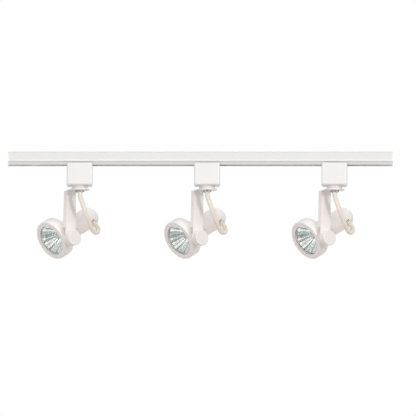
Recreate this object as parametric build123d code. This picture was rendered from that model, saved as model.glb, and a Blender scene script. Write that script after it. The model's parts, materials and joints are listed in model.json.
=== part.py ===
from build123d import *
from math import cos, pi, radians, sin, sqrt, tan
import os

# A ceiling track with three identical spotlight heads.
# World frame: X along the track, +Z up, origin at the middle of the track's ceiling face.
# Lengths are millimetres and angles are degrees.

# ---- track ----
track_length = 610.0
track_width = 35.0
track_height = 20.2
track_wall = 1.6
side_face_height = 12.9
bead_height = 2.8
bead_top_slope = 0.8
bead_bottom_slope = 0.4
bead_bulge = 0.5
groove_below_top = 0.5
groove_height = 0.6
groove_depth = 0.5
lip_recess = 2.0
lip_taper = 1.4
lip_thickness = 1.6
slot_width = 16.0
insulator_thickness = 3.4
insulator_height = 9.4
insulator_drop = 0.6
conductor_thickness = 1.2
conductor_height = 4.0
end_cap_thickness = 2.0
end_cap_plug_depth = 8.0
end_cap_plug_gap = 0.3
cap_screw_radius = 1.5
cap_screw_head_radius = 2.6
cap_screw_head_height = 1.4
cap_screw_length = 6.0
cap_screw_drop = 9.0
screw_hole_spacing = 406.4
screw_hole_radius = 2.25
feed_hole_radius = 8.0
feed_hole_from_end = 43.0
terminal_length = 24.0
terminal_height = 8.0
terminal_from_end = 12.0
terminal_side_gap = 1.2
terminal_screw_radius = 1.8
terminal_screw_depth = 3.0
terminal_screw_pitch = 7.0
terminal_screw_count = 3

# ---- heads along the track ----
head_count = 3
head_spacing = 201.85
middle_head_offset = 10.5
head_turn = 217.5
lamp_tilt = 29.0

# ---- adapter ----
adapter_length = 41.2
adapter_overlap = 2.7
adapter_side_wall = 2.0
adapter_side_gap = 0.5
adapter_drop = 33.0
adapter_floor = 2.5
adapter_corner_radius = 4.0
adapter_edge_radius = 3.2
adapter_lip_gap = 0.4
collar_radius = 12.5
collar_height = 5.0
collar_edge_radius = 0.8
key_length = 26.0
key_slot_gap = 1.0
key_top_gap = 4.4
wing_length = 12.0
wing_height = 1.8
wing_side_gap = 1.4
wing_lip_gap = 0.1
blade_length = 9.0
blade_thickness = 0.8
blade_gap = 0.2

# ---- hollow stem and nut ----
stem_wall = 1.1
stem_inside_length = 8.0
stem_end_below_nut = 0.6
nut_wall = 1.15
nut_height = 3.2
nut_thread_gap = 0.03
swivel_gap = 0.06
swivel_end_play = 0.05

# ---- bracket ----
sheet = 1.6
plate_radius = 16.0
arm_offset = 21.0
arm_top_half_width = 9.2
arm_foot_radius = 12.0
arm_back_half_width = 8.0
fold_radius = 1.4
flange_depth = 6.2
flange_top_drop = 0.8
flange_end_above_pivot = 17.0
pivot_drop_from_plate = 74.4

# ---- knob and stud ----
knob_radius = 12.5
knob_height = 8.8
knob_edge_radius = 1.3
knob_gap = 0.2
stud_radius = 2.5
stud_thread_gap = 0.05
stud_hole_gap = 0.5
boss_radius = 7.5
boss_length = 7.2
boss_gap = 0.2
stud_end_gap = 1.0

# ---- lamp housing ----
lamp_side_room = 5.0
shroud_wall = 2.2
shroud_back = 2.0
shroud_front_lip = 2.0
shroud_front_edge = 1.6
shroud_shoulder = 6.0
pivot_behind_front = 9.1
pivot_below_axis = 3.3
bezel_width = 3.4
bezel_overlap = 0.4
bezel_recess = 0.4
bezel_depth = 3.4
bezel_gap = 0.05
bezel_flange_gap = 0.2
rear_wall = 1.8
rear_straight_end = 84.0
slit_length = 8.5
slit_width = 1.5
slit_turn = 15.0
slit_depth = 79.0
slit_below_axis = 3.5
grommet_wall = 1.1
grommet_proud = 0.7
grommet_inside = 1.2

# ---- lamp ----
lamp_radius = 25.0
glass_thickness = 1.2
bowl_rim_inset = 1.0
bowl_depth = 20.0
bowl_wall = 1.4
bowl_side_gap = 0.9
neck_radius = 6.5
neck_end = 23.0
capsule_radius = 4.5
capsule_front = 9.0
capsule_socket = 5.0
base_radius = 9.5
base_length = 17.4
pin_radius = 2.4
pin_length = 7.0
pin_spacing = 10.0
holder_gap = 0.2
holder_radius = 13.0
holder_side_room = 2.0
holder_length = 15.0
holder_flange_thickness = 3.0
holder_flange_back = 5.0
pin_hole_gap = 0.2

# ---- cord ----
cord_radius = 3.7
cord_fit_gap = 0.05
cord_inside_stem = 4.5
# The cord's route, from the stem's lower end: X is where the lamp aims, Y is towards the knob, Z is up.
# The first run starts inside the stem and the last one goes on into the grommet.
cord_exit_drop = 5.0
cord_route = [
    (-6.0, -1.0, -15.0),
    (-15.7, -6.0, -29.2),
    (-26.3, -12.0, -41.2),
    (-35.8, -17.5, -49.7),
    (-46.8, -23.0, -59.0),
    (-56.6, -26.2, -57.6),
    (-64.0, -35.2, -48.4),
]
cord_entry_depth = 82.0
cord_entry_below_axis = 9.0
run_share = 0.45

# ---- levels and places worked out from the sizes above ----
lip_half_width = track_width / 2 - lip_recess
slot_half = slot_width / 2
inner_half = track_width / 2 - track_wall
lip_inner_half = lip_half_width - lip_taper - track_wall
bead_bottom = -(side_face_height + bead_height)
cavity_floor = -(track_height - lip_thickness)
adapter_top = -(track_height - adapter_overlap)
adapter_bottom = -(track_height + adapter_drop)
adapter_half_width = lip_half_width + adapter_side_gap + adapter_side_wall
collar_bottom = adapter_bottom - collar_height
plate_top = collar_bottom - swivel_end_play
plate_bottom = plate_top - sheet
nut_top = plate_bottom - swivel_end_play
nut_bottom = nut_top - nut_height
stem_bore = cord_radius + cord_fit_gap
stem_radius = stem_bore + stem_wall
nut_flats = 2 * (stem_radius + nut_wall)
stem_bottom = nut_bottom - stem_end_below_nut
stem_top = adapter_bottom + adapter_floor + stem_inside_length
arm_outer = arm_offset + sheet
pivot_z = plate_bottom - pivot_drop_from_plate
bezel_inner_radius = lamp_radius - bezel_overlap
shroud_front_opening = bezel_inner_radius + bezel_width
shroud_inner = lamp_radius + lamp_side_room
shroud_radius = shroud_inner + shroud_wall
lamp_axis_y = -(arm_outer + boss_length + shroud_radius)
bowl_radius = lamp_radius - bowl_rim_inset
rear_inner = holder_radius + holder_side_room
rear_radius = rear_inner + rear_wall
glass_front = bezel_depth
bowl_front = glass_front + glass_thickness
# The shroud is as long as it takes for the narrowing bowl to clear the rear tube's wall.
bowl_radius_at_tube = rear_inner - bowl_side_gap - bowl_wall
rear_start = bowl_front + bowl_depth * (1 - (bowl_radius_at_tube / bowl_radius) ** 2)
shroud_length = rear_start + shroud_back
base_front = bowl_front + neck_end
base_back = base_front + base_length
holder_front = base_back + holder_gap
head_positions = [
    middle_head_offset + (n - (head_count - 1) / 2) * head_spacing for n in range(head_count)
]

# The head's frame at its own swivel axis, and the lamp's frame inside it.
# In the lamp's frame Z runs backwards from the front face, X points to the knob, and Y points down.
head_frame = Rot(0, 0, head_turn)
back = Vector(-cos(radians(lamp_tilt)), 0, sin(radians(lamp_tilt)))
down = Vector(-sin(radians(lamp_tilt)), 0, -cos(radians(lamp_tilt)))
stem_end = Vector(0, 0, stem_bottom)
pivot = Vector(0, 0, pivot_z)
front_centre = pivot - back * pivot_behind_front - down * pivot_below_axis + Vector(0, lamp_axis_y, 0)
lamp_frame = Plane(origin=front_centre, x_dir=(0, 1, 0), z_dir=back).location


def slab(low, high):
    """A box between two corners."""
    size = [b - a for a, b in zip(low, high)]
    return Pos(*low) * Box(*size, align=(Align.MIN, Align.MIN, Align.MIN))


def rod(radius, start, end):
    """A cylinder along Z between two levels."""
    return Pos(0, 0, start) * Cylinder(
        radius, end - start, align=(Align.CENTER, Align.CENTER, Align.MIN)
    )


def tube(outer, inner, start, end):
    """A hollow cylinder along Z between two levels."""
    return rod(outer, start, end) - rod(inner, start, end)


def turned(points, roundings=()):
    """A solid of revolution about Z from (radius, depth) corners; roundings are (corner number, radius)."""
    face = make_face(Polyline([(r, 0, z) for r, z in points], close=True))
    for number, radius in roundings:
        r, z = points[number]
        corner = face.vertices().sort_by_distance((r, 0, z))[0]
        face = fillet(corner, radius)
    return revolve(face, Axis.Z, 360)


def along_y(shape):
    """Turns a shape whose axis is Z so that its axis is Y, with +Z becoming +Y."""
    return Rot(-90, 0, 0) * shape


def extruded_along_track(points, length):
    """A bar along X from (y, z) corners, centred on x = 0."""
    face = make_face(Polyline([(0, y, z) for y, z in points], close=True))
    return Pos(-length / 2, 0, 0) * extrude(face, length, dir=(1, 0, 0))


def track_outline():
    """The track's outer section: flat grooved sides, a bead along each, and tapering lips below."""
    half = track_width / 2
    groove_bottom = -groove_below_top - groove_height
    outline = [
        (half, 0),
        (half, -groove_below_top),
        (half - groove_depth, -groove_below_top),
        (half - groove_depth, groove_bottom),
        (half, groove_bottom),
        (half, -side_face_height),
        (half + bead_bulge, -side_face_height - bead_top_slope),
        (half + bead_bulge, bead_bottom + bead_bottom_slope),
        (half - bead_bulge, bead_bottom),
        (lip_half_width, bead_bottom),
        (lip_half_width - lip_taper, -track_height),
    ]
    return outline + [(-y, z) for y, z in reversed(outline)]


def track_channel():
    """The aluminium extrusion: a box channel with a slot below."""
    bar_length = track_length - 2 * end_cap_thickness
    channel = extruded_along_track(track_outline(), bar_length)
    long = bar_length / 2
    upper = slab((-long, -inner_half, bead_bottom + track_wall), (long, inner_half, -track_wall))
    lower = slab((-long, -lip_inner_half, cavity_floor), (long, lip_inner_half, -track_wall))
    slot = slab((-long, -slot_half, -track_height), (long, slot_half, cavity_floor))
    channel -= upper + lower + slot
    for x in (-screw_hole_spacing / 2, screw_hole_spacing / 2):
        channel -= Pos(x, 0, 0) * rod(screw_hole_radius, -track_wall, 0)
    channel -= Pos(feed_hole_from_end - track_length / 2, 0, 0) * rod(feed_hole_radius, -track_wall, 0)
    return channel


def insulator_and_conductor():
    """The plastic strip inside each side wall, and the copper bar in its groove."""
    bar_length = track_length - 2 * end_cap_thickness - 2 * end_cap_plug_depth
    top = -track_wall - insulator_drop
    bottom = top - insulator_height
    inner_face = inner_half - insulator_thickness
    middle = (top + bottom) / 2
    strips = []
    bars = []
    for side in (-1, 1):
        low, high = sorted((side * inner_face, side * inner_half))
        strip = slab((-bar_length / 2, low, bottom), (bar_length / 2, high, top))
        low, high = sorted((side * inner_face, side * (inner_face + conductor_thickness)))
        bar = slab(
            (-bar_length / 2, low, middle - conductor_height / 2),
            (bar_length / 2, high, middle + conductor_height / 2),
        )
        strips.append(strip - bar)
        bars.append(bar)
    return Compound(children=strips), Compound(children=bars)


def end_cap(side):
    """A flush end plate with a plug that goes into the channel, drilled for its screw."""
    end = side * track_length / 2
    face = end - side * end_cap_thickness
    plate = extruded_along_track(track_outline(), end_cap_thickness)
    plate = Pos((end + face) / 2, 0, 0) * plate
    gap = end_cap_plug_gap
    low, high = sorted((face, face - side * end_cap_plug_depth))
    plug = slab(
        (low, -lip_inner_half + gap, cavity_floor + gap),
        (high, lip_inner_half - gap, -track_wall - gap),
    )
    cap = plate + plug
    return cap - Pos(end, 0, -cap_screw_drop) * Rot(0, -90 * side, 0) * rod(
        cap_screw_radius, 0, cap_screw_length
    )


def end_cap_screws():
    """A pan-head screw in the middle of each end cap, its head let in flush."""
    screws = []
    for side in (-1, 1):
        end = side * track_length / 2
        screw = rod(cap_screw_radius, 0, cap_screw_length)
        screws.append(Pos(end, 0, -cap_screw_drop) * Rot(0, -90 * side, 0) * screw)
    return Compound(children=screws)


def terminal_block():
    """The feed terminals inside the left end of the track, and their clamping screws."""
    start = terminal_from_end - track_length / 2
    half = inner_half - insulator_thickness - terminal_side_gap
    top = -track_wall
    block = slab((start, -half, top - terminal_height), (start + terminal_length, half, top))
    screws = []
    for n in range(terminal_screw_count):
        x = start + terminal_length / 2
        y = (n - (terminal_screw_count - 1) / 2) * terminal_screw_pitch
        low = top - terminal_height
        screw = Pos(x, y, 0) * rod(terminal_screw_radius, low, low + terminal_screw_depth)
        block -= screw
        screws.append(screw)
    return block, Compound(children=screws)


def adapter_housing():
    """The moulded box under the track, with its collar; its two side walls lap the track's lips."""
    half_x = adapter_length / 2
    half_y = adapter_half_width
    box = slab((-half_x, -half_y, adapter_bottom), (half_x, half_y, adapter_top))
    box = fillet(box.edges().filter_by(Axis.Z), adapter_corner_radius)
    box = fillet(box.faces().sort_by(Axis.Z)[0].edges(), adapter_edge_radius)
    wall = adapter_side_wall
    hollow = slab(
        (-half_x + wall, -half_y + wall, adapter_bottom + adapter_floor),
        (half_x - wall, half_y - wall, adapter_top),
    )
    hollow = fillet(hollow.edges().filter_by(Axis.Z), adapter_corner_radius - wall)
    notch = slab(
        (-half_x, -half_y + wall, -track_height - adapter_lip_gap),
        (half_x, half_y - wall, adapter_top),
    )
    collar = rod(collar_radius, collar_bottom, adapter_bottom)
    collar = fillet(collar.faces().sort_by(Axis.Z)[0].edges(), collar_edge_radius)
    housing = (box - hollow - notch) + collar
    return housing - rod(stem_radius, collar_bottom, adapter_bottom + adapter_floor)


def adapter_key():
    """The block that passes the slot, with wings that hang on the lips inside the track."""
    half_y = slot_half - key_slot_gap
    bottom = stem_top
    top = -track_wall - key_top_gap
    key = slab((-key_length / 2, -half_y, bottom), (key_length / 2, half_y, top))
    wing_bottom = cavity_floor + wing_lip_gap
    reach = lip_inner_half - wing_side_gap
    key += slab(
        (-wing_length / 2, -reach, wing_bottom), (wing_length / 2, reach, wing_bottom + wing_height)
    )
    foot = slab(
        (-key_length / 2, -adapter_half_width + adapter_side_wall, bottom),
        (key_length / 2, adapter_half_width - adapter_side_wall, bottom + adapter_floor),
    )
    return key + foot


def contact_blades():
    """A copper blade on each side of the key, next to the track's copper bars."""
    top = -track_wall - insulator_drop - insulator_height / 2 + blade_thickness / 2
    near = slot_half - key_slot_gap
    far = inner_half - insulator_thickness - blade_gap
    blades = []
    for side in (-1, 1):
        low, high = sorted((side * near, side * far))
        blades.append(
            slab((-blade_length / 2, low, top - blade_thickness), (blade_length / 2, high, top))
        )
    return Compound(children=blades)


def swivel_stem():
    """The hollow threaded stem that the head turns on and the cord comes out of."""
    return tube(stem_radius, stem_bore, stem_bottom, stem_top)


def stem_nut():
    """The hexagon nut that holds the bracket up against the collar."""
    blank = Pos(0, 0, nut_bottom) * extrude(
        RegularPolygon(nut_flats / sqrt(3), 6), nut_height
    )
    crown = turned(
        [
            (0, nut_bottom),
            (nut_flats / 2, nut_bottom),
            (nut_flats / sqrt(3), nut_bottom + nut_height * 0.2),
            (nut_flats / sqrt(3), nut_top),
            (0, nut_top),
        ]
    )
    return (blank & crown) - rod(stem_radius + nut_thread_gap, nut_bottom, nut_top)


def arm_edge(side, level):
    """The X of the arm's edge at a level; side is 1 towards the lamp's front and -1 towards its back."""
    at_pivot = arm_foot_radius if side > 0 else arm_back_half_width
    share = (plate_top - level) / (plate_top - pivot_z)
    return side * (arm_top_half_width + share * (at_pivot - arm_top_half_width))


def swivel_bracket():
    """One folded sheet: a round plate on the stem and a flanged arm down to the pivot."""
    plate_outline = make_face(
        Polyline(
            (-plate_radius, 0),
            (-arm_top_half_width, -arm_outer),
            (arm_top_half_width, -arm_outer),
            (plate_radius, 0),
            close=True,
        )
    )
    plate = extrude(plate_outline + Circle(plate_radius), sheet)
    plate = Pos(0, 0, plate_bottom) * plate
    arm_outline = make_face(
        Polyline(
            (arm_edge(-1, plate_top), 0, plate_top),
            (arm_edge(1, plate_top), 0, plate_top),
            (arm_edge(1, pivot_z), 0, pivot_z),
            (arm_edge(-1, pivot_z), 0, pivot_z),
            close=True,
        )
    )
    arm = Pos(0, -arm_outer, 0) * extrude(arm_outline, sheet, dir=(0, 1, 0))
    foot = Pos(0, -arm_outer, pivot_z) * along_y(rod(arm_foot_radius, 0, sheet))
    bracket = plate + arm + foot
    fold = bracket.edges().filter_by(Axis.X).sort_by_distance((0, -arm_outer, plate_top))[0]
    bracket = fillet(fold, fold_radius)
    start = plate_top - flange_top_drop
    end = pivot_z + flange_end_above_pivot
    for side in (-1, 1):
        strip = make_face(
            Polyline(
                (arm_edge(side, start), 0, start),
                (arm_edge(side, end), 0, end),
                (arm_edge(side, end) - side * sheet, 0, end),
                (arm_edge(side, start) - side * sheet, 0, start),
                close=True,
            )
        )
        flange = Pos(0, -arm_outer - flange_depth, 0) * extrude(strip, flange_depth, dir=(0, 1, 0))
        bracket += flange
    bracket -= rod(stem_radius + swivel_gap, plate_bottom, plate_top)
    stud_hole = along_y(rod(stud_radius + stud_hole_gap, -arm_outer, -arm_offset))
    return bracket - Pos(0, 0, pivot_z) * stud_hole


def tilt_knob():
    """The round clamping knob with its stud, which goes through the arm into the boss."""
    inner = -arm_offset + knob_gap
    body = rod(knob_radius, inner, inner + knob_height)
    body = fillet(body.faces().sort_by(Axis.Z)[-1].edges(), knob_edge_radius)
    stud = rod(stud_radius, -arm_outer - boss_length + stud_end_gap, inner)
    return Pos(0, 0, pivot_z) * along_y(body + stud)


def lamp_shroud():
    """The wide front shell, rounded at its back, with the boss that the arm clamps."""
    shell = turned(
        [
            (shroud_front_opening, 0),
            (shroud_radius, 0),
            (shroud_radius, shroud_length),
            (rear_radius, shroud_length),
            (rear_radius, rear_start),
            (shroud_inner, rear_start),
            (shroud_inner, shroud_front_lip),
            (shroud_front_opening, shroud_front_lip),
        ],
        [(1, shroud_front_edge), (2, shroud_shoulder), (5, shroud_shoulder - shroud_wall)],
    )
    side = Rot(0, 90, 0)
    place = Pos(0, pivot_below_axis, pivot_behind_front)
    reach = shroud_radius + boss_length - boss_gap
    boss = place * side * rod(boss_radius, shroud_inner * 0.9, reach)
    boss -= rod(shroud_inner, 0, rear_start)
    bore = place * side * rod(stud_radius + stud_thread_gap, shroud_inner * 0.9, reach)
    return shell + boss - bore


def lamp_bezel():
    """The retaining ring in the shroud's mouth, with a flange behind the shroud's lip."""
    edge = shroud_front_opening - bezel_gap
    flange = shroud_inner - bezel_flange_gap
    return turned(
        [
            (bezel_inner_radius, bezel_recess),
            (edge, bezel_recess),
            (edge, shroud_front_lip),
            (flange, shroud_front_lip),
            (flange, bezel_depth),
            (bezel_inner_radius, bezel_depth),
        ]
    )


def bowl_profile(depth, offset):
    """The parabola's radius at a depth behind the bowl's rim."""
    return bowl_radius * sqrt(1 - depth / bowl_depth) + offset


def reflector():
    """The glass reflector bowl with its neck."""
    inner_end = bowl_depth * (1 - (neck_radius / bowl_radius) ** 2)
    depths = [inner_end * share for share in (0, 0.25, 0.5, 0.75, 0.9, 1)]
    inner = Spline([(bowl_profile(d, 0), 0, bowl_front + d) for d in depths])
    outer = Spline([(bowl_profile(d, bowl_wall), 0, bowl_front + d) for d in depths])
    end = base_front
    outline = [
        inner,
        Line(inner @ 1, (neck_radius, 0, end)),
        Line((neck_radius, 0, end), (neck_radius + bowl_wall, 0, end)),
        Line((neck_radius + bowl_wall, 0, end), outer @ 1),
        outer,
        Line(outer @ 0, inner @ 0),
    ]
    return revolve(make_face(Curve(outline)), Axis.Z, 360)


def front_glass():
    """The clear disc between the bezel and the bowl's rim."""
    return rod(lamp_radius, glass_front, glass_front + glass_thickness)


def halogen_capsule():
    """The small glass bulb with a round nose, set in the base through the bowl's neck."""
    tip = bowl_front + capsule_front
    nose = Pos(0, 0, tip + capsule_radius) * Sphere(capsule_radius)
    return nose + rod(capsule_radius, tip + capsule_radius, base_front + capsule_socket)


def lamp_base():
    """The ceramic base behind the neck, with two contact pins."""
    base = rod(base_radius, base_front, base_back)
    base -= rod(capsule_radius, base_front, base_front + capsule_socket)
    for x in (-pin_spacing / 2, pin_spacing / 2):
        base += Pos(x, 0, 0) * rod(pin_radius, base_back, base_back + pin_length)
    return base


def lampholder():
    """The ceramic socket that takes the pins, centred in the rear housing by its flange."""
    end = holder_front + holder_length
    holder = rod(holder_radius, holder_front, end)
    flange_end = end - holder_flange_back
    holder += rod(rear_inner, flange_end - holder_flange_thickness, flange_end)
    for x in (-pin_spacing / 2, pin_spacing / 2):
        holder -= Pos(x, 0, 0) * rod(
            pin_radius + pin_hole_gap, holder_front, base_back + pin_length + pin_hole_gap
        )
    return holder


def cord_entry():
    """Where the cord's line meets the rear housing's side, in the head's frame."""
    side = sqrt(rear_radius**2 - cord_entry_below_axis**2)
    local = Vector(side, cord_entry_below_axis, cord_entry_depth)
    return front_centre + back * local.Z + down * local.Y + Vector(0, local.X, 0)


def entry_direction():
    """The way that the cord's last run points, into the rear housing."""
    return (cord_entry() - stem_end - Vector(*cord_route[-1])).normalized()


def entry_rod(radius, before, after):
    """A cylinder on the cord's last run, from before its entry point to after it."""
    way = entry_direction()
    start = cord_entry() - way * before
    return Plane(origin=start, z_dir=way).location * rod(radius, 0, before + after)


def socket_housing():
    """The rear tube with its domed end, a hole for the cord's grommet and a slit beside it."""
    outer = rod(rear_radius, rear_start, rear_straight_end)
    outer += Pos(0, 0, rear_straight_end) * Sphere(rear_radius)
    inner = rod(rear_inner, rear_start, rear_straight_end)
    inner += Pos(0, 0, rear_straight_end) * Sphere(rear_inner)
    housing = lamp_frame * (outer - inner)
    housing -= entry_rod(cord_radius + cord_fit_gap + grommet_wall, grommet_proud * 4, rear_wall * 3)
    slit = extrude(SlotOverall(slit_length, slit_width), rear_radius)
    turn = Rot(0, 90, 0) * Rot(0, 0, slit_turn)
    place = Pos(0, slit_below_axis, slit_depth) * turn
    return housing - lamp_frame * place * slit


def cord_grommet():
    """The sleeve that lines the cord's hole in the rear housing."""
    bore = cord_radius + cord_fit_gap
    sleeve = entry_rod(bore + grommet_wall, grommet_proud, rear_wall + grommet_inside)
    return sleeve - entry_rod(bore, grommet_proud, rear_wall + grommet_inside)


def cord_points():
    """The corners of the cord's route, from inside the stem to inside the grommet."""
    start = (0, 0, cord_inside_stem)
    first = (0, 0, -cord_exit_drop)
    last = cord_entry() + entry_direction() * (rear_wall + grommet_inside)
    return [stem_end + Vector(*p) for p in [start, first, *cord_route]] + [last]


def corner_radii(points):
    """Each corner's arc: as large as its two runs allow."""
    radii = []
    for before, corner, after in zip(points, points[1:], points[2:]):
        arriving = corner - before
        leaving = after - corner
        turn = radians(arriving.get_angle(leaving))
        shorter = min(arriving.length, leaving.length)
        radii.append(run_share * shorter / tan(turn / 2))
    return radii


def head_cord():
    """The sleeved cord from the stem to the rear housing."""
    points = cord_points()
    radii = corner_radii(points)
    path = FilletPolyline(*points, radius=radii)
    section = Plane(origin=points[0], z_dir=points[1] - points[0]) * Circle(cord_radius)
    cord = sweep(section, path=path)
    print("cord radii", [round(r, 1) for r in radii])
    print("cord length", round(path.length, 1), "volume ratio",
          round(cord.volume / (pi * cord_radius**2 * path.length), 4))
    return cord


nodes = {}
nodes["track_channel"] = track_channel()
nodes["insulator_strips"], nodes["conductor_bars"] = insulator_and_conductor()
nodes["end_cap_left"] = end_cap(-1)
nodes["end_cap_right"] = end_cap(1)
nodes["end_cap_screws"] = end_cap_screws()
nodes["feed_terminal_block"], nodes["terminal_screws"] = terminal_block()

# Adapter pieces stand square to the track; the bracket's and the lamp's are turned with the head.
on_adapter = {
    "adapter_housing": adapter_housing(),
    "adapter_key": adapter_key(),
    "contact_blades": contact_blades(),
    "swivel_stem": swivel_stem(),
    "stem_nut": stem_nut(),
}
on_head = {
    "swivel_bracket": swivel_bracket(),
    "head_cord": head_cord(),
    "tilt_knob": tilt_knob(),
    "lamp_shroud": lamp_frame * lamp_shroud(),
    "lamp_bezel": lamp_frame * lamp_bezel(),
    "front_glass": lamp_frame * front_glass(),
    "reflector": lamp_frame * reflector(),
    "halogen_capsule": lamp_frame * halogen_capsule(),
    "lamp_base": lamp_frame * lamp_base(),
    "lampholder": lamp_frame * lampholder(),
    "socket_housing": socket_housing(),
    "cord_grommet": cord_grommet(),
}
for number, x in enumerate(head_positions, 1):
    for name, shape in on_adapter.items():
        nodes[f"{name}_{number}"] = Pos(x, 0, 0) * shape
    for name, shape in on_head.items():
        nodes[f"{name}_{number}"] = Pos(x, 0, 0) * head_frame * shape

os.makedirs("parts", exist_ok=True)
for name, shape in nodes.items():
    export_step(shape, f"parts/{name}.step")
print(len(nodes), "nodes")
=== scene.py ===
import json
import random
from math import cos, pi, radians, sin, sqrt

import bmesh
import bpy
from mathutils import Matrix, Vector


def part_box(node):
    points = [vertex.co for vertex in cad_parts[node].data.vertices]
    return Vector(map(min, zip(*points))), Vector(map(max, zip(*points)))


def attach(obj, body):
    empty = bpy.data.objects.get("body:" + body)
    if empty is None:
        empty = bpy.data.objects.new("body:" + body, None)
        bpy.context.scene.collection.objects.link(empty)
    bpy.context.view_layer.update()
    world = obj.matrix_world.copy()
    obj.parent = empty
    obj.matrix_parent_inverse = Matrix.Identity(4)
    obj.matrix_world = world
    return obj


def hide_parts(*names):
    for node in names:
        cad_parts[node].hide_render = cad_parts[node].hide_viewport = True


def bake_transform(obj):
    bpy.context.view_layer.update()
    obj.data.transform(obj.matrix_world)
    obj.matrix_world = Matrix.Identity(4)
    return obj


# A white ceiling track with three spotlight heads, in metres, +Z up.
# The CAD frame gives every place; this script adds the cords, the lamps' optics and all materials.

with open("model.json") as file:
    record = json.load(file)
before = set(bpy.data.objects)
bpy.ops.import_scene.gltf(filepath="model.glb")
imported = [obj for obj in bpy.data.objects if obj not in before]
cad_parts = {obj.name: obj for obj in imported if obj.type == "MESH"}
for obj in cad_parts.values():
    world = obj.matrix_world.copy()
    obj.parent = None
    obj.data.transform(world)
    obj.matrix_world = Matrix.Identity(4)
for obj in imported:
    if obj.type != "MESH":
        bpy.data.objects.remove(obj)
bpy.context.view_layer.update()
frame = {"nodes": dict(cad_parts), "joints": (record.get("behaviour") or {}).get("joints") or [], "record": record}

HEADS = (1, 2, 3)
nodes = frame["nodes"]
joints = {j["name"]: j for j in frame["joints"]}
materials = {}

# Points of a mesh that are closer than this become one.
MERGE_DISTANCE = 1e-7

# ---- camera ----
CAMERA_ELEVATION = radians(-6.0)
CAMERA_DISTANCE = 2.4
CAMERA_CLIP = (0.05, 50)
VIEW_WIDTH = 0.6591
VIEW_CENTRE_X = 0.0120
VIEW_CENTRE_UP = -0.0876

# ---- cord ----
CORD_DIAMETER = 0.0074
CORD_SIDES = 32
CORD_CURVE_STEPS = 16
# The control points from the stem's lower end: X is where the lamp aims, Y is towards the knob, Z is up.
# The middle ones stand up to 10 mm further out from the arm than those of the CAD tube.
CORD_ROUTE = [
    (0.0, 0.0, 0.0045),
    (0.0, 0.0, -0.0050),
    (-0.0036, 0.0022, -0.0155),
    (-0.0104, 0.0009, -0.0298),
    (-0.0206, -0.0046, -0.0422),
    (-0.0312, -0.0117, -0.0504),
    (-0.0446, -0.0204, -0.0592),
    (-0.0566, -0.0262, -0.0576),
    (-0.0640, -0.0352, -0.0484),
    (-0.0670, -0.0503, -0.0386),
]

# ---- reflector: a parabola from the rim to the neck, depths from the middle of the front glass ----
GLASS_HALF = 0.0006
BOWL_RADIUS = 0.0240
BOWL_DEPTH = 0.0200
BOWL_WALL = 0.0014
BOWL_RINGS = 8
RING_CROWDING = 0.8
NECK_RADIUS = 0.0065
NECK_LENGTH = 0.0230
FLUTES = 20
FLUTE_DEPTH = 0.09
# The facets' colours are painted reflection: bright mirrors paint highlights and dark ones paint dark reflections,
# picked per flute side with this seed and changed now and then.
FACET_SEED = 5
PAINTED_REFLECTION_CHANGE = 0.04
PAINTED_REFLECTION_MIRRORS = ("reflector_mirror", "mirror_painted_highlight", "mirror_painted_dark_reflection")
# The two sides of a flute, each by its place in the mirror list above: the plain mirror, the painted highlight or
# the painted dark reflection.
FLUTE_PAINTED_REFLECTIONS = ((1, 2), (1, 0), (1, 2), (0, 2), (1, 1), (2, 2))

# ---- capsule bulb and its filament, depths as above ----
CAPSULE_RADIUS = 0.0045
CAPSULE_FRONT = 0.0096
CAPSULE_BACK = 0.0286
CAPSULE_SIDES = 32
NOSE_STEPS = 6
NOSE_START = 0.18
# (radius, depth from the capsule's front) of the tip where the quartz was sealed.
TIP_PROFILE = ((0, -0.0012), (0.0006, -0.0011), (0.0010, -0.0004), (0.0012, 0.0002))
# (share of the capsule's radius, distance from its back) of the shoulder into the neck.
SHOULDER_PROFILE = ((1, 0.004), (0.85, 0.0025), (0.8, 0))
COIL_TURNS = 9
COIL_STEPS = 12
COIL_LENGTH = 0.0055
COIL_RADIUS = 0.0009
COIL_DEPTH = 0.0155
COIL_WIRE_RADIUS = 0.00015
COIL_WIRE_SIDES = 6
LEAD_RADIUS = 0.00025
LEAD_SIDES = 8
LEAD_DEPTHS = (COIL_DEPTH, 0.0190, 0.0235, 0.0275)

# ---- edges ----
EDGE_WIDTHS = {"swivel_bracket": 0.00035, "stem_nut": 0.0003}
EDGE_SEGMENTS = 3
EDGE_ANGLE = radians(35)

# ---- surfaces ----
NOISE_RANGE = (0.3, 0.7)
SHADE_SCALE = 35.0
ENAMEL_DETAIL = 2.0
ENAMEL_GLOSS_CHANGE = 0.05
SKIN_STRENGTH = 0.3
METAL_DETAIL = 4.0
METAL_GLOSS_SHARE = 0.3
METAL_STRENGTH = 0.2
METAL_GRAIN_HEIGHT = 0.00003
MOTTLE_SCALE = 420.0
MOTTLE_DETAIL = 2.0
MOTTLE_FADE = 0.9
MIRROR_GLOSS_SHARE = 0.2
HAZE_SCALE = 250.0
GLASS_GLOSS_SHARE = 0.3
GLASS_IOR = 1.45

# ---- stage and light ----
SKY_BELOW = (0.53, 0.49, 0.47)
SKY_LEVEL = (0.66, 0.65, 0.64)
SKY_ABOVE = (0.82, 0.82, 0.82)
FLOOR_LEVEL = -1.3
FLOOR_HALF = 12.0
FLOOR_GLOW = 0.4
FLOOR_GRAIN_SCALE = 60.0
FLOOR_GRAIN_STRENGTH = 0.1
FLOOR_GRAIN_HEIGHT = 0.0005
LIGHT_DISTANCE = 4.0
# Each light's azimuth and elevation in degrees as seen from the row of heads, its side, and its share.
LIGHTS = {
    "key": (42, 10, 0.6, 0.235),
    "top": (-10, 58, 1.2, 0.29),
    "fill": (-45, -20, 2.6, 0.07),
    "glint": (-22, -4, 0.3, 0.13),
}


# ---- places ----
def middle(node):
    """The middle of a CAD node's box, which is on the axis of a turned piece."""
    low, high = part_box(node)
    return (low + high) / 2


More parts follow.
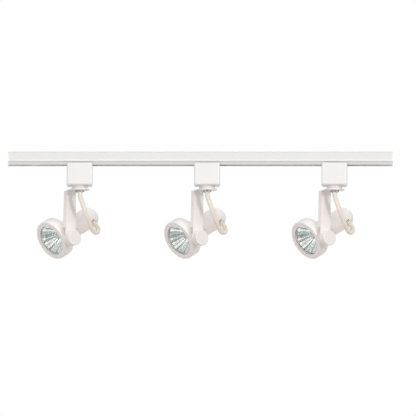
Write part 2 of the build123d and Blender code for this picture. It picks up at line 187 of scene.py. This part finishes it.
def stem_matrix(number):
    """The head's frame at the stem's lower end: X aims, Y points to the knob, Z is up."""
    knob_way = Vector(joints[f"tilt_{number}"]["axis"]).normalized()
    aim = knob_way.cross(Vector((0, 0, 1)))
    x, y, _ = joints[f"swivel_{number}"]["pos_m"]
    stem_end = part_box(f"swivel_stem_{number}")[0][2]
    turn = Matrix((aim, knob_way, Vector((0, 0, 1)))).transposed()
    return Matrix.Translation((x, y, stem_end)) @ turn.to_4x4()


def lamp_matrix(number):
    """The lamp's frame: Z runs backwards along its axis from the glass, X points to the knob."""
    glass_middle = middle(f"front_glass_{number}")
    back = (middle(f"lampholder_{number}") - glass_middle).normalized()
    knob_way = Vector(joints[f"tilt_{number}"]["axis"]).normalized()
    turn = Matrix((knob_way, back.cross(knob_way), back)).transposed()
    return Matrix.Translation(glass_middle) @ turn.to_4x4()


def make_camera():
    """A parallel camera that looks along +Y from a little below the heads."""
    data = bpy.data.cameras.new("camera")
    data.type = "ORTHO"
    data.ortho_scale = VIEW_WIDTH
    data.clip_start, data.clip_end = CAMERA_CLIP
    camera = link("camera", data)
    forward = Vector((0, cos(CAMERA_ELEVATION), -sin(CAMERA_ELEVATION)))
    up = Vector((0, -forward.z, forward.y))
    target = Vector((VIEW_CENTRE_X, 0, 0)) + up * VIEW_CENTRE_UP
    camera.location = target - forward * CAMERA_DISTANCE
    camera.rotation_mode = "QUATERNION"
    camera.rotation_quaternion = forward.to_track_quat("-Z", "Y")
    bpy.context.scene.camera = camera


# ---- meshes ----
def link(name, data):
    """A new object for a mesh, a curve, a light or a camera."""
    piece = bpy.data.objects.new(name, data)
    bpy.context.scene.collection.objects.link(piece)
    return piece


def mesh_from(name, vertices, faces, smooth=True):
    """A mesh from points and faces, with its faces turned outwards."""
    mesh = bpy.data.meshes.new(name)
    mesh.from_pydata([tuple(v) for v in vertices], [], faces)
    builder = bmesh.new()
    builder.from_mesh(mesh)
    bmesh.ops.remove_doubles(builder, verts=builder.verts, dist=MERGE_DISTANCE)
    bmesh.ops.recalc_face_normals(builder, faces=builder.faces)
    builder.to_mesh(mesh)
    builder.free()
    for face in mesh.polygons:
        face.use_smooth = smooth
    return mesh


def wall_faces(rings, sides):
    """The four-sided faces between rings of points that follow each other."""
    faces = []
    for ring in range(rings - 1):
        for step in range(sides):
            following = (step + 1) % sides
            near = ring * sides
            far = near + sides
            faces.append((near + step, near + following, far + following, far + step))
    return faces


def end_face(ring, sides):
    """One face across a ring of points."""
    return tuple(range(ring * sides, (ring + 1) * sides))


def spline_points(name, points):
    """The points along a smooth line that has the given control points."""
    data = bpy.data.curves.new(name, "CURVE")
    data.dimensions = "3D"
    data.resolution_u = CORD_CURVE_STEPS
    spline = data.splines.new("NURBS")
    spline.points.add(len(points) - 1)
    for target, point in zip(spline.points, points):
        target.co = (*point, 1)
    spline.order_u = 3
    spline.use_endpoint_u = True
    holder = link(name, data)
    line = bpy.data.meshes.new_from_object(holder)
    path = [v.co.copy() for v in line.vertices]
    bpy.data.objects.remove(holder)
    bpy.data.meshes.remove(line)
    return path


def tube_mesh(name, path, radius, sides):
    """A closed round tube along a path, without twist."""
    vertices = []
    side = None
    for index, point in enumerate(path):
        ahead = path[min(index + 1, len(path) - 1)] - path[max(index - 1, 0)]
        ahead.normalize()
        if side is None:
            side = ahead.orthogonal().normalized()
        side = (side - ahead * side.dot(ahead)).normalized()
        other = ahead.cross(side)
        for step in range(sides):
            angle = 2 * pi * step / sides
            vertices.append(point + (side * cos(angle) + other * sin(angle)) * radius)
    faces = wall_faces(len(path), sides) + [end_face(0, sides), end_face(len(path) - 1, sides)]
    return mesh_from(name, vertices, faces)


def lathe_mesh(name, profile, sides, place, smooth=True, flutes=None):
    """A turned mesh from (radius, depth) points; flutes says how far every other side is pushed in."""
    vertices = []
    for (radius, depth), flute in zip(profile, flutes or [0.0] * len(profile)):
        for step in range(sides):
            angle = 2 * pi * step / sides
            reach = radius * (1 - flute * (step % 2))
            vertices.append(place @ Vector((reach * cos(angle), reach * sin(angle), depth)))
    faces = wall_faces(len(profile), sides)
    if profile[0] != profile[-1]:
        for ring in (0, len(profile) - 1):
            if profile[ring][0] > 0:
                faces.append(end_face(ring, sides))
    return mesh_from(name, vertices, faces, smooth)


# ---- materials ----
def shader(name, colour, roughness, **sockets):
    """A material with a Principled shader: its node tree and its shader."""
    material = bpy.data.materials.new(name)
    material.use_nodes = True
    tree = material.node_tree
    principled = tree.nodes["Principled BSDF"]
    principled.inputs["Base Color"].default_value = (*colour, 1)
    principled.inputs["Roughness"].default_value = roughness
    for socket, value in sockets.items():
        principled.inputs[socket.replace("_", " ")].default_value = value
    materials[name] = material
    return tree, principled


def noise_of(tree, scale, detail=3.0, stretch=(1, 1, 1)):
    """A noise over the object's own coordinates, stretched along its axes."""
    place = tree.nodes.new("ShaderNodeTexCoord")
    mapping = tree.nodes.new("ShaderNodeMapping")
    mapping.inputs["Scale"].default_value = stretch
    noise = tree.nodes.new("ShaderNodeTexNoise")
    noise.inputs["Scale"].default_value = scale
    noise.inputs["Detail"].default_value = detail
    tree.links.new(place.outputs["Object"], mapping.inputs["Vector"])
    tree.links.new(mapping.outputs["Vector"], noise.inputs["Vector"])
    return noise.outputs["Fac"]


def spread(tree, source, low, high):
    """Maps a noise to a range of values."""
    ranged = tree.nodes.new("ShaderNodeMapRange")
    ranged.inputs["From Min"].default_value, ranged.inputs["From Max"].default_value = NOISE_RANGE
    ranged.inputs["To Min"].default_value = low
    ranged.inputs["To Max"].default_value = high
    tree.links.new(source, ranged.inputs["Value"])
    return ranged.outputs["Result"]


def tint(tree, principled, source, first, second):
    """Mixes two colours by a noise."""
    mix = tree.nodes.new("ShaderNodeMix")
    mix.data_type = "RGBA"
    mix.inputs["A"].default_value = (*first, 1)
    mix.inputs["B"].default_value = (*second, 1)
    tree.links.new(spread(tree, source, 0, 1), mix.inputs["Factor"])
    tree.links.new(mix.outputs["Result"], principled.inputs["Base Color"])


def uneven_gloss(tree, principled, source, roughness, change):
    """Varies the roughness by a noise, up to a change each way."""
    uneven = spread(tree, source, roughness - change, roughness + change)
    tree.links.new(uneven, principled.inputs["Roughness"])


def bump(tree, principled, source, strength, distance):
    """Raises a surface by a noise."""
    raised = tree.nodes.new("ShaderNodeBump")
    raised.inputs["Strength"].default_value = strength
    raised.inputs["Distance"].default_value = distance
    tree.links.new(source, raised.inputs["Height"])
    tree.links.new(raised.outputs["Normal"], principled.inputs["Normal"])


def enamel(name, first, second, roughness, skin_scale, skin_height, stretch=(1, 1, 1)):
    """Enamel, plastic or ceramic: two close shades, a fine skin and a slightly uneven gloss."""
    tree, principled = shader(name, first, roughness)
    tint(tree, principled, noise_of(tree, SHADE_SCALE, ENAMEL_DETAIL), first, second)
    skin = noise_of(tree, skin_scale, ENAMEL_DETAIL, stretch)
    uneven_gloss(tree, principled, skin, roughness, ENAMEL_GLOSS_CHANGE)
    bump(tree, principled, skin, SKIN_STRENGTH, skin_height)


def metal(name, first, second, roughness, scale, stretch=(1, 1, 1)):
    """Bare or plated metal with two shades and a fine grain; on the chrome nut the two shades are far apart and
    paint bright and dark reflections.
    """
    tree, principled = shader(name, first, roughness, Metallic=1.0)
    grain = noise_of(tree, scale, METAL_DETAIL, stretch)
    tint(tree, principled, grain, first, second)
    uneven_gloss(tree, principled, grain, roughness, METAL_GLOSS_SHARE * roughness)
    bump(tree, principled, grain, METAL_STRENGTH, METAL_GRAIN_HEIGHT)


def mirror(name, colour, roughness):
    """The reflector's coating: a mirror with a faint mottle, one for each kind of facet; the bright and dark kinds
    carry a painted highlight and a painted dark reflection in their colour.
    """
    tree, principled = shader(name, colour, roughness, Metallic=1.0)
    mottle = noise_of(tree, MOTTLE_SCALE, MOTTLE_DETAIL)
    tint(tree, principled, mottle, colour, tuple(MOTTLE_FADE * part for part in colour))
    uneven_gloss(tree, principled, mottle, roughness, MIRROR_GLOSS_SHARE * roughness)


def glass(name, colour, roughness, transmission):
    """Glass with slightly uneven polish."""
    tree, principled = shader(
        name, colour, roughness, Transmission_Weight=transmission, IOR=GLASS_IOR
    )
    uneven_gloss(tree, principled, noise_of(tree, HAZE_SCALE), roughness, GLASS_GLOSS_SHARE * roughness)


def make_materials():
    """Every material, with its colours, its roughness, and the scale and height of its grain."""
    lengthwise = (0.05, 1, 1)
    enamel(
        "track_white_enamel", (0.725, 0.73, 0.715), (0.74, 0.745, 0.73), 0.36, 900, 0.00001, lengthwise
    )
    enamel("white_plastic", (0.81, 0.785, 0.77), (0.83, 0.805, 0.79), 0.30, 1500, 0.00002)
    enamel("white_enamel", (0.845, 0.805, 0.79), (0.865, 0.825, 0.81), 0.36, 1100, 0.00002)
    enamel("knob_plastic", (0.80, 0.755, 0.74), (0.82, 0.775, 0.76), 0.42, 1600, 0.00002)
    # The insulators' dark grey is partly their own colour and partly painted shade for the shadowed slot under the
    # track.
    enamel(
        "insulator_plastic", (0.20, 0.195, 0.175), (0.24, 0.235, 0.21), 0.55, 700, 0.00003, (0.2, 1, 1)
    )
    enamel("grommet_plastic", (0.66, 0.58, 0.50), (0.70, 0.62, 0.54), 0.5, 1400, 0.00003)
    enamel("white_ceramic", (0.80, 0.78, 0.73), (0.84, 0.82, 0.78), 0.7, 1800, 0.00006)
    enamel("cord_sleeve", (0.86, 0.785, 0.70), (0.88, 0.81, 0.73), 0.40, 1300, 0.00003)
    metal("copper", (0.80, 0.45, 0.30), (0.70, 0.36, 0.22), 0.3, 800, lengthwise)
    metal("zinc_steel", (0.62, 0.62, 0.63), (0.52, 0.52, 0.53), 0.3, 1500)
    # Painted reflection: the chrome nut's near-white and near-black shades are stretched into upright streaks that
    # stand for bright and dark reflections.
    metal("nut_chrome", (0.99, 0.97, 0.94), (0.05, 0.04, 0.03), 0.10, 330, (1, 1, 0.1))
    metal("filament", (0.45, 0.43, 0.40), (0.35, 0.33, 0.31), 0.3, 3000)
    # Painted reflection: the bright and dark mirrors are lit and shaded copies of the reflector's coating.
    mirror("reflector_mirror", (0.93, 0.96, 0.95), 0.28)
    mirror("mirror_painted_highlight", (0.99, 0.99, 0.985), 0.36)
    mirror("mirror_painted_dark_reflection", (0.36, 0.395, 0.39), 0.18)
    glass("clear_glass", (0.97, 0.99, 0.98), 0.015, 1.0)
    glass("capsule_glass", (0.95, 0.96, 0.955), 0.22, 0.35)


# ---- pieces that Blender makes ----
def make_cord(number):
    """The sleeved cord from the stem to the rear housing."""
    place = stem_matrix(number)
    path = spline_points(f"cord_line_{number}", [place @ Vector(p) for p in CORD_ROUTE])
    piece = link(f"cord_{number}", tube_mesh(f"cord_{number}", path, CORD_DIAMETER / 2, CORD_SIDES))
    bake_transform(piece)
    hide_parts(f"head_cord_{number}")
    piece.data.materials.append(materials["cord_sleeve"])


def bowl_line(offset):
    """(radius, depth) points down the bowl's parabola, from its rim to its neck."""
    end = BOWL_DEPTH * (1 - (NECK_RADIUS / BOWL_RADIUS) ** 2)
    points = []
    for ring in range(BOWL_RINGS + 1):
        depth = end * (ring / BOWL_RINGS) ** RING_CROWDING
        points.append((BOWL_RADIUS * sqrt(1 - depth / BOWL_DEPTH) + offset, GLASS_HALF + depth))
    return points


def painted_reflection_facets():
    """Which mirror each facet has, by side and ring: plain, painted highlight or painted dark reflection. A column
    changes its mirror now and then.
    """
    picks = random.Random(FACET_SEED)
    shades = []
    for _ in range(FLUTES):
        pair = picks.choice(FLUTE_PAINTED_REFLECTIONS)
        for shade in pair:
            column = []
            for _ in range(BOWL_RINGS):
                if picks.random() < PAINTED_REFLECTION_CHANGE:
                    shade = picks.choice(range(len(PAINTED_REFLECTION_MIRRORS)))
                column.append(shade)
            shades.append(column)
    return shades


def make_reflector(number):
    """The fluted, faceted mirror bowl in one closed piece, with a flat rim."""
    inner = bowl_line(0)
    outer = bowl_line(BOWL_WALL)
    neck_end = GLASS_HALF + NECK_LENGTH
    neck = [(NECK_RADIUS, neck_end), (NECK_RADIUS + BOWL_WALL, neck_end)]
    rim = (BOWL_RADIUS + BOWL_WALL, GLASS_HALF)
    profile = [rim] + inner + neck + outer[:0:-1] + [rim]
    flutes = [0.0, 0.0] + [FLUTE_DEPTH] * BOWL_RINGS + [0.0] * (len(profile) - BOWL_RINGS - 2)
    sides = FLUTES * 2
    mesh = lathe_mesh(f"reflector_bowl_{number}", profile, sides, lamp_matrix(number), False, flutes)
    piece = link(f"reflector_bowl_{number}", mesh)
    for name in PAINTED_REFLECTION_MIRRORS:
        mesh.materials.append(materials[name])
    # Each facet gets the plain mirror, the painted highlight or the painted dark reflection.
    for step, column in enumerate(painted_reflection_facets()):
        for ring, shade in enumerate(column):
            mesh.polygons[(ring + 1) * sides + step].material_index = shade
    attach(piece, f"lamp_{number}")
    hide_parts(f"reflector_{number}")


def make_capsule(number):
    """The small quartz bulb: a round nose with its sealed tip, a body, and a shoulder into the neck."""
    profile = [(radius, CAPSULE_FRONT + depth) for radius, depth in TIP_PROFILE]
    for step in range(1, NOSE_STEPS + 1):
        angle = (pi / 2) * (NOSE_START + (1 - NOSE_START) * step / NOSE_STEPS)
        profile.append((CAPSULE_RADIUS * sin(angle), CAPSULE_FRONT + CAPSULE_RADIUS * (1 - cos(angle))))
    for share, from_back in SHOULDER_PROFILE:
        profile.append((CAPSULE_RADIUS * share, CAPSULE_BACK - from_back))
    mesh = lathe_mesh(f"capsule_{number}", profile, CAPSULE_SIDES, lamp_matrix(number))
    piece = link(f"capsule_{number}", mesh)
    mesh.materials.append(materials["capsule_glass"])
    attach(piece, f"lamp_{number}")
    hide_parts(f"halogen_capsule_{number}")


def make_wire(name, number, points, radius, sides):
    """A thin wire in the lamp through points of the lamp's frame."""
    place = lamp_matrix(number)
    piece = link(name, tube_mesh(name, [place @ Vector(p) for p in points], radius, sides))
    piece.data.materials.append(materials["filament"])
    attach(piece, f"lamp_{number}")


def make_filament(number):
    """The coiled filament and its two leads inside the capsule."""
    coil = []
    for step in range(COIL_TURNS * COIL_STEPS + 1):
        angle = 2 * pi * step / COIL_STEPS
        along = COIL_LENGTH * (step / (COIL_TURNS * COIL_STEPS) - 0.5)
        coil.append((along, COIL_RADIUS * cos(angle), COIL_DEPTH + COIL_RADIUS * sin(angle)))
    make_wire(f"filament_{number}", number, coil, COIL_WIRE_RADIUS, COIL_WIRE_SIDES)
    for side, label in ((-1, "left"), (1, "right")):
        lead = [(side * COIL_LENGTH / 2, COIL_RADIUS, depth) for depth in LEAD_DEPTHS]
        make_wire(f"lead_{label}_{number}", number, lead, LEAD_RADIUS, LEAD_SIDES)


# ---- CAD nodes ----
def dress_cad_nodes():
    """Gives each CAD node the material of its slot."""
    for row in frame["record"]["subparts"]:
        piece = nodes[row["node"]]
        piece.data.materials.clear()
        piece.data.materials.append(materials[row["material_slot"]])


def soften(number):
    """Rounds the sharp edges of the bracket and the nut, which catch the light."""
    for name, width in EDGE_WIDTHS.items():
        bevel = nodes[f"{name}_{number}"].modifiers.new("edge", "BEVEL")
        bevel.width = width
        bevel.segments = EDGE_SEGMENTS
        bevel.limit_method = "ANGLE"
        bevel.angle_limit = EDGE_ANGLE
        bevel.harden_normals = False


# ---- stage and light ----
def make_world():
    """A pale surrounding, dimmer from below, with plain white behind the object."""
    world = bpy.data.worlds.new("studio")
    world.use_nodes = True
    bpy.context.scene.world = world
    tree = world.node_tree
    tree.nodes.clear()
    output = tree.nodes.new("ShaderNodeOutputWorld")
    seen = tree.nodes.new("ShaderNodeBackground")
    seen.inputs["Color"].default_value = (1, 1, 1, 1)
    lit = tree.nodes.new("ShaderNodeBackground")
    way = tree.nodes.new("ShaderNodeTexCoord")
    parts = tree.nodes.new("ShaderNodeSeparateXYZ")
    height = tree.nodes.new("ShaderNodeMapRange")
    height.inputs["From Min"].default_value = -1.0
    ramp = tree.nodes.new("ShaderNodeValToRGB")
    first, last = ramp.color_ramp.elements
    first.color = (*SKY_BELOW, 1)
    last.color = (*SKY_ABOVE, 1)
    level = ramp.color_ramp.elements.new(0.5)
    level.color = (*SKY_LEVEL, 1)
    tree.links.new(way.outputs["Generated"], parts.inputs["Vector"])
    tree.links.new(parts.outputs["Z"], height.inputs["Value"])
    tree.links.new(height.outputs["Result"], ramp.inputs["Fac"])
    tree.links.new(ramp.outputs["Color"], lit.inputs["Color"])
    ray = tree.nodes.new("ShaderNodeLightPath")
    mix = tree.nodes.new("ShaderNodeMixShader")
    tree.links.new(ray.outputs["Is Camera Ray"], mix.inputs["Fac"])
    tree.links.new(lit.outputs["Background"], mix.inputs[1])
    tree.links.new(seen.outputs["Background"], mix.inputs[2])
    tree.links.new(mix.outputs["Shader"], output.inputs["Surface"])


def make_light(name, azimuth, elevation, size, share):
    """A soft light far off in one direction; share is how brightly it lights a card that faces it."""
    data = bpy.data.lights.new(name, "AREA")
    data.shape = "RECTANGLE"
    data.size = size
    data.size_y = size
    data.energy = share * (pi * LIGHT_DISTANCE) ** 2
    lamp = link(name, data)
    turn = radians(azimuth)
    rise = radians(elevation)
    way = Vector((sin(turn) * cos(rise), -cos(turn) * cos(rise), sin(rise)))
    row_middle = Vector((VIEW_CENTRE_X, 0, VIEW_CENTRE_UP))
    lamp.location = row_middle + way * LIGHT_DISTANCE
    lamp.rotation_mode = "QUATERNION"
    lamp.rotation_quaternion = (row_middle - lamp.location).to_track_quat("-Z", "Y")
    lamp.visible_camera = False


def make_floor():
    """A plain pale floor well below the heads, which only reflections and other views show."""
    corners = [(-1, -1), (1, -1), (1, 1), (-1, 1)]
    mesh = bpy.data.meshes.new("floor")
    points = [(x * FLOOR_HALF, y * FLOOR_HALF, FLOOR_LEVEL) for x, y in corners]
    mesh.from_pydata(points, [], [(0, 1, 2, 3)])
    floor = link("floor", mesh)
    tree, principled = shader("floor_paper", (0.85, 0.85, 0.85), 0.8)
    grain = noise_of(tree, FLOOR_GRAIN_SCALE)
    bump(tree, principled, grain, FLOOR_GRAIN_STRENGTH, FLOOR_GRAIN_HEIGHT)
    principled.inputs["Emission Color"].default_value = (1, 1, 1, 1)
    principled.inputs["Emission Strength"].default_value = FLOOR_GLOW
    mesh.materials.append(materials["floor_paper"])
    floor.visible_diffuse = False


make_camera()
make_materials()
for head in HEADS:
    make_cord(head)
dress_cad_nodes()
for head in HEADS:
    make_reflector(head)
    make_capsule(head)
    make_filament(head)
    soften(head)
bpy.context.scene.view_settings.view_transform = "Standard"
make_world()
make_floor()
for light, values in LIGHTS.items():
    make_light(light, *values)
